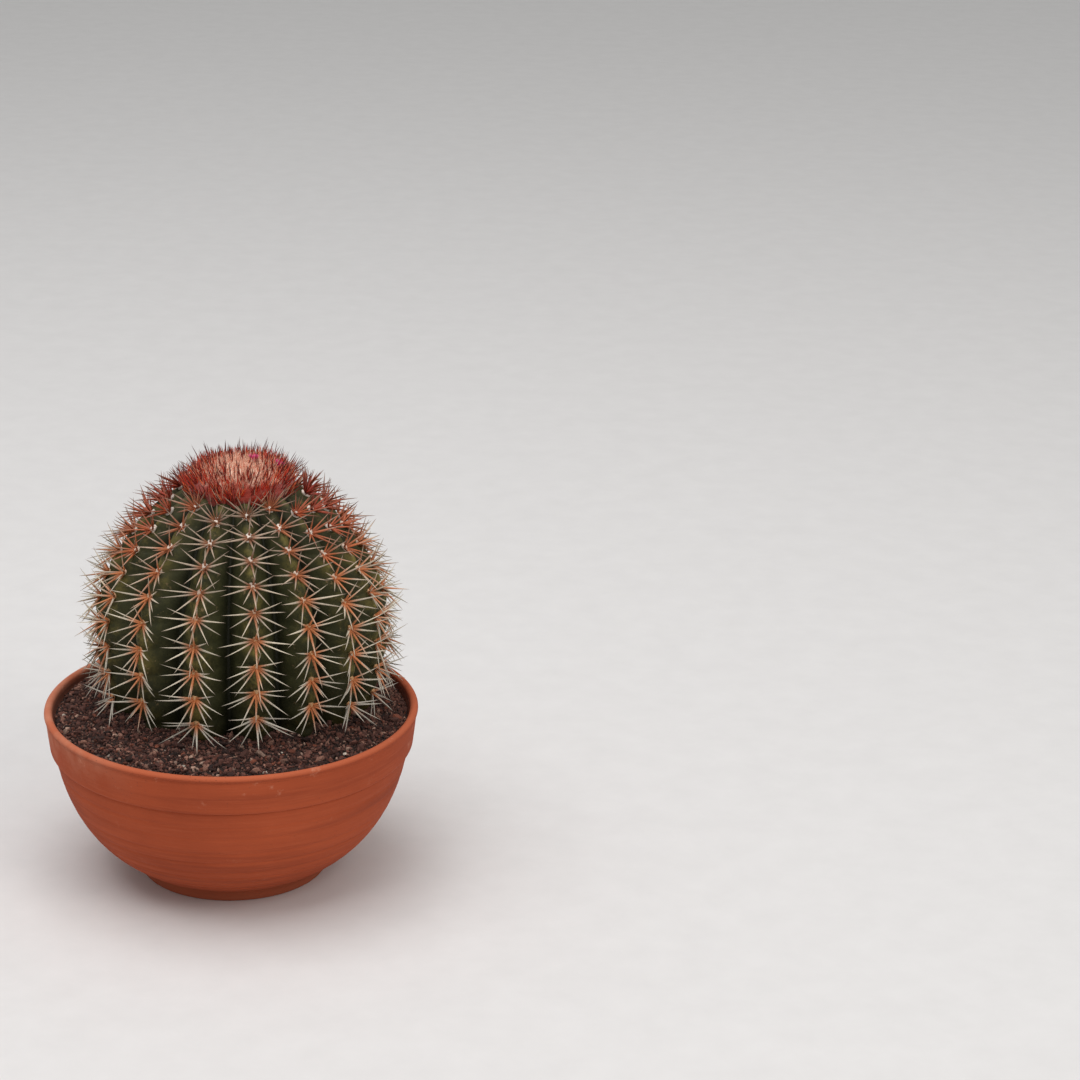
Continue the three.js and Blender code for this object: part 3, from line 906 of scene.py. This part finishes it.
def add_areole(parts, rib, count, chance):
    """Adds one areole's felt and spines. Returns False once the crest has gone under the soil."""
    distance = areole_distance(rib, count)
    radius, height, polar = walk_crest(distance)
    if height < SOIL_AT_STEM + LOWEST_AREOLE:
        return False
    next_radius, next_height, _ = walk_crest(distance + AREOLE_RISE)
    away = outward(rib_turn(rib))
    down = (away * (next_radius - radius) + Vector((0, 0, next_height - height))).normalized()
    side = Vector((0, 0, 1)).cross(away)
    out = side.cross(down)
    if out.dot(away) < 0 and height > WAIST_HEIGHT:
        out.negate()
    if out.dot(away + Vector((0, 0, math.cos(polar)))) < 0:
        out.negate()
    centre = skin_point(rib, 0, distance) + out * AREOLE_RISE
    height_share = (height - SOIL_AT_STEM) / (stem_high.z - SOIL_AT_STEM)
    # Spines and felt are painted redder towards the plant's left and right sides as the camera sees them,
    # partly their own red and partly painted light shining through them there; they are also redder lower
    # down.
    side_glow_and_tint = min(abs(math.sin(rib_turn(rib))) ** 1.3 + max(0.8 - height_share, 0) * 1.6, 1)
    new = min(max(height_share - 0.5, 0) * 3, 1)
    felt_tint = DUSTY.lerp(FELT, side_glow_and_tint).lerp(NEW_FELT, new) * chance.uniform(0.8, 1.1)
    add_felt(parts, centre, down, side, out, felt_tint, 1 + 0.35 * new, chance)
    fans = []
    for turn, lift, length, girth, redness in SPINE_FANS:
        fans.append((turn, lift, length, girth, redness))
        fans.append((-turn, lift, length, girth, redness))
    fans += [CENTRE_SPINE, OUTER_SPINE]
    if height_share > CROWN_SPINE_FROM:
        fans.append(CROWN_SPINE)
    young = max(height_share - 0.6, 0) / 0.4
    if count == 0:
        for turn, lift, length, girth, redness in CAP_FANS:
            fans.append((turn, lift, length, girth, redness))
            fans.append((-turn, lift, length, girth, redness))
    for turn, lift, length, girth, redness in fans:
        turn = math.radians(turn + chance.uniform(-SPINE_DISORDER, SPINE_DISORDER))
        lift = math.radians(lift + chance.uniform(-SPINE_DISORDER, SPINE_DISORDER) + 12 * young)
        length = length * MM * chance.uniform(0.8, 1.12) * (1 - 0.22 * young)
        girth = girth * MM * chance.uniform(0.85, 1.15)
        along = down * math.cos(turn) + side * math.sin(turn)
        direction = along * math.cos(lift) + out * math.sin(lift)
        root = centre + direction * 0.3 * MM + along * FELT_WIDTH * 0.3
        direction = clear_direction(root, direction, length)
        bend = (Vector((0, 0, 0.05)) - out * 0.09) * chance.uniform(0.2, 1.4)
        shade = spine_shade(redness, height_share, side_glow_and_tint, chance.uniform(0.7, 1.2))
        add_needle(parts, root, direction, bend, length, girth, shade, *NEEDLE_FORM)
    return True


def tinted_piece(name, parts, finish, node_names, tint_name):
    """One piece out of many needles: its tints painted on, and a cell of the baking map for each face."""
    points, faces, tints = parts
    piece = new_piece(name, points, faces, finish, node_names)
    paint(piece, tint_name, tints)
    give_cells(piece, 1, len(faces))


spine_finish = make_spine_finish()
for rib in range(RIB_COUNT):
    rib_chance = random.Random(100 + rib)
    rib_parts = ([], [], [])
    areole_count = 0
    while add_areole(rib_parts, rib, areole_count, rib_chance):
        areole_count += 1
    number = f"{rib + 1:02d}"
    nodes = [f"rib_spines_{number}"]
    tinted_piece(f"spines_of_rib_{number}", rib_parts, spine_finish, nodes, "spine_tint")


# The woolly cap
# A flowering cap on the crown: a low cushion of cream wool packed with fine stiff red bristles, thickest
# round the sides, with the wool showing through in the middle.

CAP_DOME_HEIGHT = 11.8 * MM
CAP_TOP = cap_high.z
BRISTLE_LENGTH = 10 * MM
BRISTLE_SHORTENING = 4.5 * MM  # from the foot of the cap's side to its top
BRISTLE_RADIUS = 0.38 * MM
SPIKE_LENGTH = 14.5 * MM
SPIKE_SHORTENING = 4.5 * MM
SPIKE_RADIUS = 0.42 * MM
SIDE_TUFTS = 290
BRISTLES_PER_TUFT = 5
SIDE_SPIKES = 130
TOP_SPIKES = 55
BARE_TURN = math.radians(15)  # the side where the wool shows most
BRISTLE_TINTS = (
    Vector((0.18, 0.011, 0.006)),
    Vector((0.78, 0.060, 0.020)),
    Vector((0.95, 0.21, 0.070)),
    Vector((0.95, 0.60, 0.42)),
)
BRISTLE_SHARES = (24, 42, 18, 16)
# the dark colour of a bristle's point, also used as painted shade at its root
BRISTLE_POINT_AND_ROOT_SHADE = Vector((0.075, 0.014, 0.012))
WINE_RED = Vector((0.42, 0.045, 0.022))
WOOL_COUNT = 2300
WOOL_RADIUS = 0.26 * MM
WOOL_PINK = Vector((0.84, 0.24, 0.14))
GOLDEN_TURN = 2.39996
CAP_CREAM = Vector((0.95, 0.66, 0.49))
CAP_ROSE = Vector((0.30, 0.026, 0.012))


def cap_point(reach, turn):
    """A point of the cap's dome at a level distance from the plant's axis, and the dome's normal there."""
    share = min(reach / CAP_RADIUS, 0.995)
    height = CAP_TOP - CAP_DOME_HEIGHT + CAP_DOME_HEIGHT * math.sqrt(1 - share * share)
    slope = CAP_DOME_HEIGHT / CAP_RADIUS * share / math.sqrt(1 - share * share)
    normal = (outward(turn) * slope + Vector((0, 0, 1))).normalized()
    return PLANT + outward(turn) * reach + Vector((0, 0, height)), normal


WOOL_SHADE = (0.30, 0.07, 0.035)
CUSHION_ROWS = 44
CUSHION_TOP_ROWS = 34
CUSHION_COLUMNS = 120
SKIRT_DEPTH = 34 * MM  # for as many rows again as the top has
SKIRT_TAPER = 0.2
CUSHION_SINK = 12 * MM
WOOL_LUMPS = ((330, 0.9 * MM), (900, 0.45 * MM))  # fineness, height
WOOL_SUNK = 0.5 * MM
ROSE_START = 0.46
ROSE_WIDTH = 0.22


def make_wool():
    wool = Finish("cap_wool", Roughness=0.95, Sheen_Weight=0.35)
    tufts = wool.clouds(260, 6, 0.7)
    tint = wool.painted("wool_tint")
    shaded = wool.mixed(0.45, tint, WOOL_SHADE)
    wool.feed(Base_Color=wool.mixed(tufts.rises(0.35, 0.7) * 0.5, tint, shaded))
    wool.bumped(tufts, 1.2 * MM)
    return wool


def make_cap_cushion():
    points = [PLANT + Vector((0, 0, CAP_TOP))]
    tints = [CAP_CREAM]
    for row in range(1, CUSHION_ROWS):
        share = row / CUSHION_TOP_ROWS
        for column in range(CUSHION_COLUMNS):
            turn = 2 * math.pi * column / CUSHION_COLUMNS
            if share <= 1:
                point, normal = cap_point(CAP_RADIUS * math.sin(share * math.pi / 2), turn)
            else:
                drop = (share - 1) * SKIRT_DEPTH
                point = PLANT + outward(turn) * (CAP_RADIUS - drop * SKIRT_TAPER)
                point.z = CAP_TOP - CAP_DOME_HEIGHT - drop
                normal = outward(turn)
            tuft = sum(noise.noise(point * fineness) * height for fineness, height in WOOL_LUMPS)
            points.append(point + normal * (tuft - WOOL_SUNK))
            ragged = share + 0.22 * noise.noise(point * 140)
            rim = min(max((ragged - ROSE_START) / ROSE_WIDTH, 0), 1)
            tints.append(CAP_CREAM.lerp(CAP_ROSE, rim))
    points.append(PLANT + Vector((0, 0, CAP_TOP - CAP_DOME_HEIGHT - CUSHION_SINK)))
    tints.append(CAP_ROSE)
    faces = capped_faces(CUSHION_ROWS, CUSHION_COLUMNS)
    cushion = new_piece("cap_cushion", points, faces, make_wool(), ["cephalium"])
    paint(cushion, "wool_tint", tints)


def add_bristle(parts, root, direction, bend, length, radius, shade):
    """Adds one fine three-sided bristle or strand of wool."""
    add_needle(parts, root, direction, bend, length, radius, shade, rings=4, sides=3, taper=0.6)


def bristle_shade(chance):
    """Colour along one bristle: wine, blood red or rust, a few bleached to rose, with a dark point and
    painted shade at the root.
    """
    colour = chance.choices(BRISTLE_TINTS, BRISTLE_SHARES)[0] * chance.uniform(0.75, 1.2)

    def shade(share):
        # Painted shade darkens the root, where the bristle goes into the wool; the point is dark in its own
        # colour.
        return colour.lerp(BRISTLE_POINT_AND_ROOT_SHADE, max(share - 0.60, 0.24 - share, 0) * 2)

    return shade


def spike_shade(chance):
    """Colour along one long spike: wine red at the root, nearly black at the point."""
    colour = WINE_RED * chance.uniform(0.7, 1.2)
    return lambda share: colour.lerp(BRISTLE_POINT_AND_ROOT_SHADE, min(share * 1.3, 1))


def cap_side_root(climb, turn):
    """A root on the cap's side; climb is 0 at its foot, 1 where the side meets the top."""
    root, normal = cap_point(CAP_RADIUS * (0.97 - 0.5 * climb * climb), turn)
    foot = max(0.5 - climb, 0)
    return root + outward(turn) * foot * 2 * MM - Vector((0, 0, foot * 13 * MM)), normal


def make_bristles():
    """Tufts of bristles stand up round the cap's side; longer dark spikes stand among and above them."""
    chance = random.Random(31)
    bristles = ([], [], [])
    for tuft in range(SIDE_TUFTS):
        turn = tuft * GOLDEN_TURN + chance.uniform(-0.1, 0.1)
        climb = chance.random() ** 0.8
        bare = max(math.cos(turn - BARE_TURN), 0) * max(climb - 0.3, 0) * 1.6
        if chance.random() < bare:
            continue
        tuft_lean = 0.62 - 0.5 * climb + chance.uniform(-0.35, 0.35)
        sway = outward(turn + math.pi / 2) * chance.uniform(-0.45, 0.45)
        for _ in range(BRISTLES_PER_TUFT):
            bristle_turn = turn + chance.uniform(-0.08, 0.08)
            bristle_climb = min(max(climb + chance.uniform(-0.1, 0.1), 0), 1)
            root, normal = cap_side_root(bristle_climb, bristle_turn)
            direction = Vector((0, 0, 1)) + outward(bristle_turn) * tuft_lean + normal * 0.15 + sway
            direction += Vector([chance.uniform(-0.22, 0.22) for _ in range(3)])
            direction.normalize()
            length = (BRISTLE_LENGTH - BRISTLE_SHORTENING * climb) * chance.uniform(0.55, 1.2)
            bend = Vector((0, 0, 0.14)) * chance.uniform(0, 1.5)
            start = root - direction * 1 * MM
            shade = bristle_shade(chance)
            add_bristle(bristles, start, direction, bend, length, BRISTLE_RADIUS, shade)
    for index in range(SIDE_SPIKES + TOP_SPIKES):
        turn = index * GOLDEN_TURN + chance.uniform(-0.3, 0.3)
        climb = chance.random() ** 1.3
        root, normal = cap_side_root(climb, turn)
        lean = 1.1 - 0.8 * climb
        length = (SPIKE_LENGTH - SPIKE_SHORTENING * climb) * chance.uniform(0.75, 1.1)
        if index >= SIDE_SPIKES:
            root, normal = cap_point(CAP_RADIUS * 0.8 * math.sqrt(chance.random()), turn)
            lean = 0.1
            length = chance.uniform(4.5, 8.5) * MM
        direction = Vector((0, 0, 1)) + outward(turn) * lean + normal * 0.2
        direction += Vector([chance.uniform(-0.25, 0.25) for _ in range(3)])
        direction.normalize()
        bend = Vector((0, 0, 0.1)) * chance.uniform(0, 1)
        add_bristle(bristles, root, direction, bend, length, SPIKE_RADIUS, spike_shade(chance))
    tinted_piece("cap_bristles", bristles, spine_finish, [], "spine_tint")


def make_wool_strands():
    chance = random.Random(32)
    wool = ([], [], [])
    for index in range(WOOL_COUNT):
        turn = index * GOLDEN_TURN
        reach = CAP_RADIUS * 0.9 * math.sqrt(chance.random())
        root, normal = cap_point(reach, turn)
        lean = Vector([chance.uniform(-0.5, 0.5) for _ in range(3)])
        direction = (normal * 0.6 + Vector((0, 0, 0.8)) + lean).normalized()
        bend = Vector([chance.uniform(-0.4, 0.4) for _ in range(3)])
        pinkness = min(chance.random() ** 1.5 + (reach / CAP_RADIUS) ** 3, 1)
        cream = CAP_CREAM.lerp(WOOL_PINK, pinkness) * chance.uniform(0.85, 1.1)
        length = chance.uniform(3.5, 5.5) * MM
        start = root - direction * 2 * MM
        add_bristle(wool, start, direction, bend, length, WOOL_RADIUS, lambda share, cream=cream: cream)
    tinted_piece("cap_wool_strands", wool, spine_finish, [], "spine_tint")


make_cap_cushion()
make_bristles()
make_wool_strands()


# The flowers
# Two small magenta flowers that open out of the wool: a short tube with a ring of narrow petals.

FLOWERS = (("flower_1", 8, 118), ("flower_2", 21, 100))  # CAD node, mm from the axis, degrees of turn
PETALS = 9
PETAL_LENGTH = 4.2 * MM
PETAL_WIDTH = 0.75 * MM
PETAL_SPREAD = 0.35
INNER_SPREAD = 0.55  # of the outer ring's
TUBE_RADIUS = 0.5 * MM
PETAL_ROOT = Vector((0.70, 0.05, 0.20))
PETAL_TIP = Vector((0.62, 0.012, 0.13))
PETAL_VEIN = (0.28, 0.01, 0.06)


def make_petal_finish():
    petal = Finish("petals", Roughness=0.5, Subsurface_Weight=0.15)
    tint = petal.painted("petal_tint")
    veins = petal.clouds(1400, 3)
    petal.feed(Base_Color=petal.mixed(veins.rises(0.4, 0.7) * 0.3, tint, PETAL_VEIN))
    petal.bumped(veins, 0.1 * MM)
    return petal


petal_finish = make_petal_finish()
for flower_name, flower_reach, flower_turn in FLOWERS:
    flower_parts = ([], [], [])
    flower_root, flower_normal = cap_point(flower_reach * MM, math.radians(flower_turn))
    flower_side = flower_normal.orthogonal().normalized()
    flower_other = flower_normal.cross(flower_side)
    for petal_index in range(PETALS * 2):
        lean = PETAL_SPREAD * (1 if petal_index < PETALS else INNER_SPREAD)
        petal_angle = 2 * math.pi * (petal_index + 0.5 * (petal_index >= PETALS)) / PETALS
        spread = flower_side * math.cos(petal_angle) + flower_other * math.sin(petal_angle)
        petal_root = flower_root + spread * TUBE_RADIUS
        petal_direction = (flower_normal + spread * lean).normalized()
        add_needle(
            flower_parts,
            petal_root,
            petal_direction,
            spread * lean,
            PETAL_LENGTH,
            PETAL_WIDTH,
            lambda share: PETAL_ROOT.lerp(PETAL_TIP, share),
            rings=6,
            sides=6,
            taper=0.6,
        )
    nodes = [flower_name]
    tinted_piece(f"{flower_name}_petals", flower_parts, petal_finish, nodes, "petal_tint")


# The floor, the light and the camera
# A pale sheet under the plant, two soft lamps and a light room, seen from in front and a little above.

FLOOR_HALF = 7.0
FLOOR_SHADE = (0.70, 0.685, 0.675)
FLOOR_LIGHT = (0.73, 0.715, 0.705)
ROOM_LIGHT = (0.86, 0.87, 0.87, 1)
ROOM_STRENGTH = 0.56
CAMERA_PLACE = (0.172, -1.563, 0.758)
CAMERA_PITCH = math.radians(19.67)
CAMERA_ROLL = math.radians(1.16)
CAMERA_LENS = 100


def make_floor():
    sheet = Finish("pale_floor", Roughness=0.8)
    fibres = sheet.clouds(40, 4, 0.6)
    sheet.feed(Base_Color=sheet.ramp(fibres, (0.3, FLOOR_SHADE), (0.7, FLOOR_LIGHT)))
    mesh = bpy.data.meshes.new("floor")
    corners = ((-1, -1), (1, -1), (1, 1), (-1, 1))
    mesh.from_pydata([(x * FLOOR_HALF, y * FLOOR_HALF, 0) for x, y in corners], [], [(0, 1, 2, 3)])
    mesh.materials.append(sheet.material)
    floor = bpy.data.objects.new("floor", mesh)
    bpy.context.scene.collection.objects.link(floor)


def add_lamp(name, place, size, power, colour):
    lamp = bpy.data.lights.new(name, "AREA")
    lamp.size = size
    lamp.energy = power
    lamp.color = colour
    holder = bpy.data.objects.new(name, lamp)
    holder.location = place
    holder.rotation_euler = (Vector((0, 0, 0.1)) - Vector(place)).to_track_quat("-Z", "Y").to_euler()
    bpy.context.scene.collection.objects.link(holder)


make_floor()
add_lamp("window", (1.5, -1.3, 1.7), 1.2, 13, (1.0, 0.97, 0.93))
add_lamp("skylight", (-0.35, -0.25, 2.2), 2.0, 34, (1.0, 0.99, 1.0))
room = bpy.data.worlds.new("room")
room.use_nodes = True
room.node_tree.nodes["Background"].inputs["Color"].default_value = ROOM_LIGHT
room.node_tree.nodes["Background"].inputs["Strength"].default_value = ROOM_STRENGTH
bpy.context.scene.world = room
bpy.context.scene.view_settings.view_transform = "Standard"

camera_data = bpy.data.cameras.new("camera")
camera_data.lens = CAMERA_LENS
camera = bpy.data.objects.new("camera", camera_data)
camera.location = CAMERA_PLACE
camera_tilt = Matrix.Rotation(math.pi / 2 - CAMERA_PITCH, 3, "X")
camera.rotation_euler = (camera_tilt @ Matrix.Rotation(CAMERA_ROLL, 3, "Z")).to_euler()
bpy.context.scene.collection.objects.link(camera)
bpy.context.scene.camera = camera
